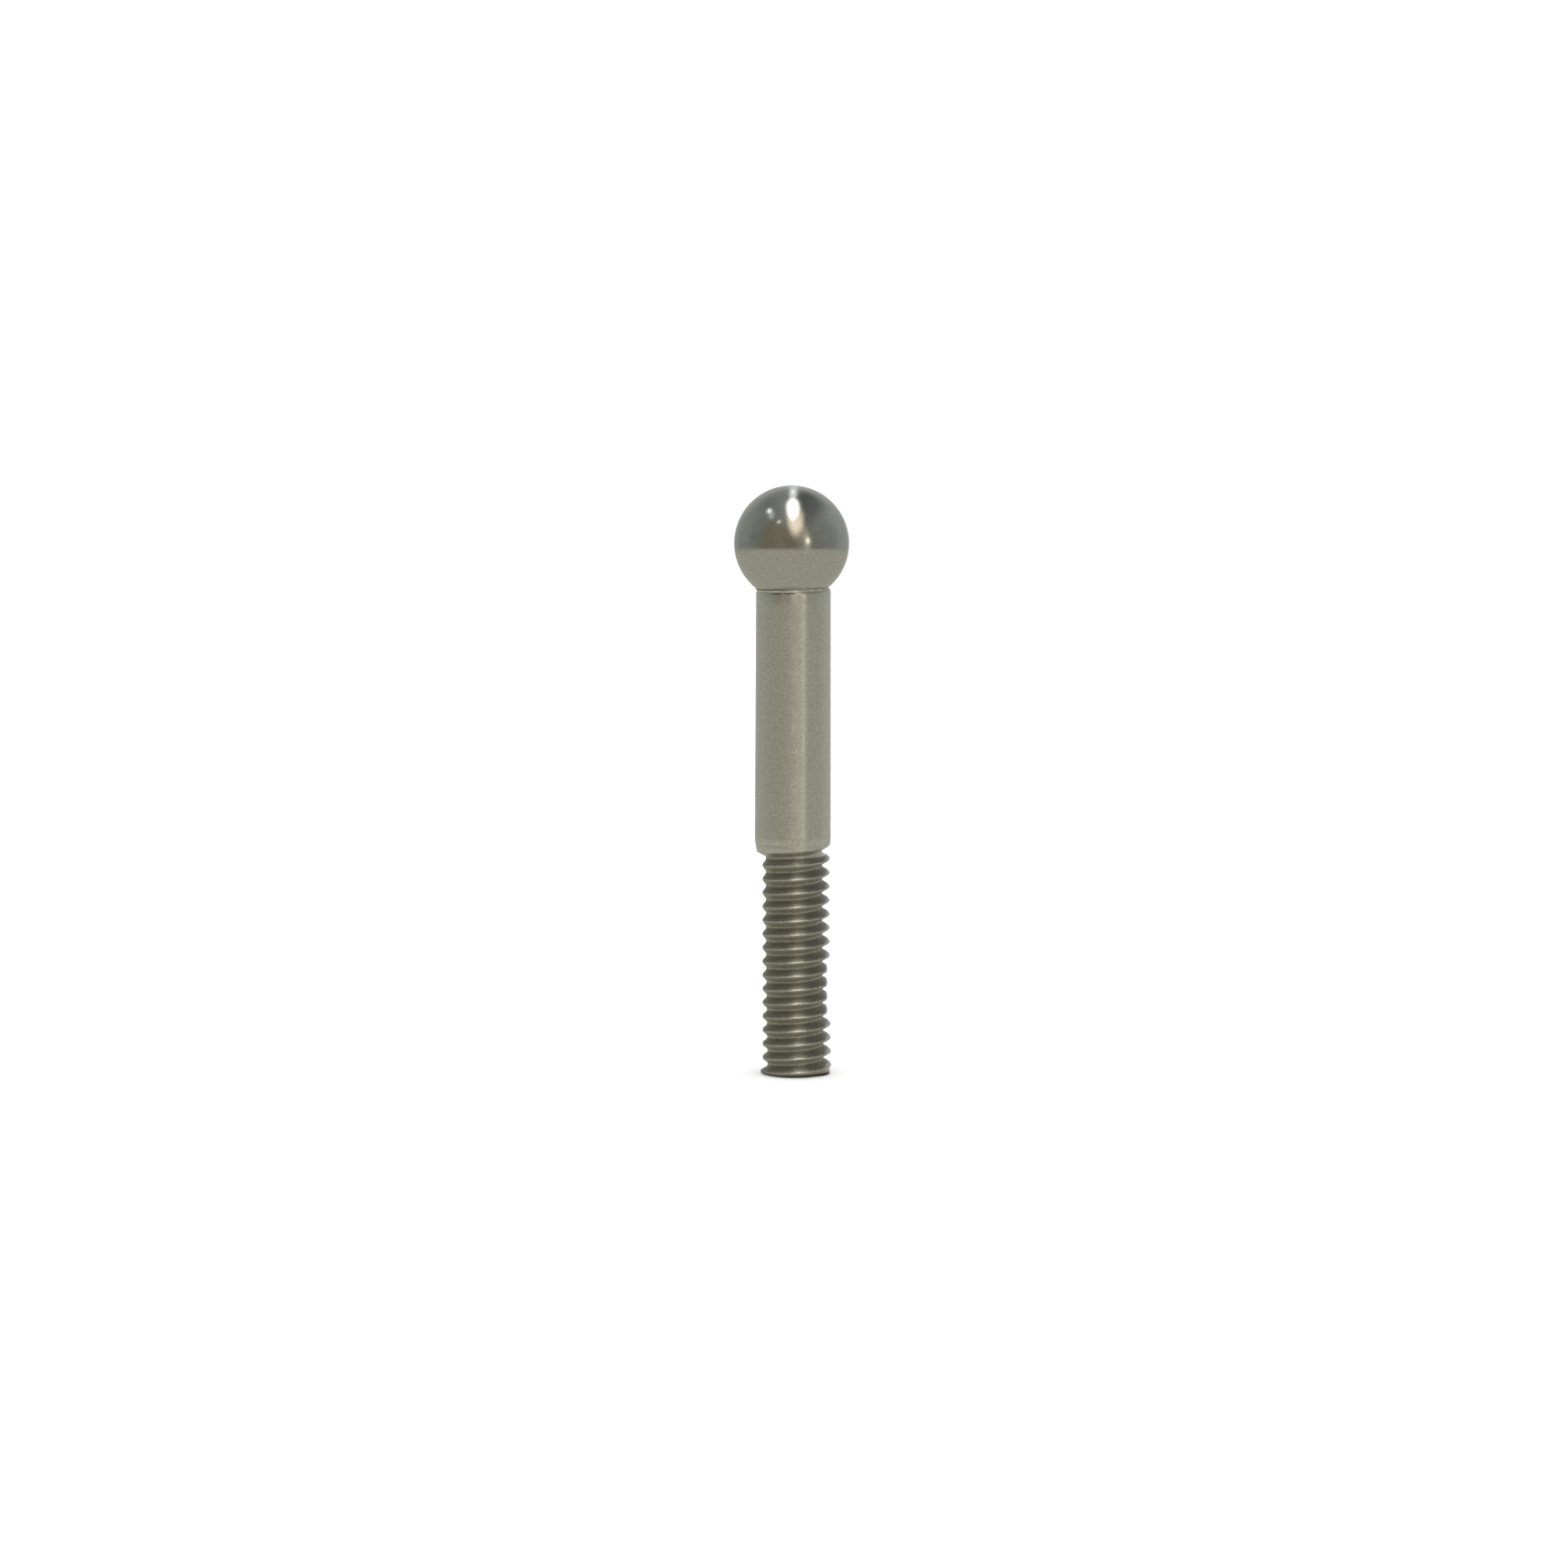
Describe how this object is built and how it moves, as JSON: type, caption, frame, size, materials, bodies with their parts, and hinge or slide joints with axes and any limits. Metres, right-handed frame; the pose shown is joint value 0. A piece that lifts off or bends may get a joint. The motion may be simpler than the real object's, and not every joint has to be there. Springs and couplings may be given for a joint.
{
  "type": "ball stud",
  "caption": "Ball-ended threaded stud: a polished ball soldered on a plain round shank that steps down to a full-length screw thread, the stud half of a ball joint or rod end.",
  "frame": {"origin": "centre of the flat end face of the thread, the face the stud stands on", "axes": "+Z along the stud's axis from the thread end up to the ball; X and Y are square to it, and -Y is the side the view faces"},
  "size_m": [0.0104, 0.0104, 0.054],
  "materials": {
    "polished_ball": "polished, with fine wear marks",
    "stud_steel": "fine turned satin on the shank, darker oily cut thread",
    "hard_solder": "smooth bright fillet"
  },
  "bodies": {
    "root": {"ball": "polished_ball", "threaded_stud": "stud_steel", "solder_ring": "hard_solder"}
  },
  "joints": []
}
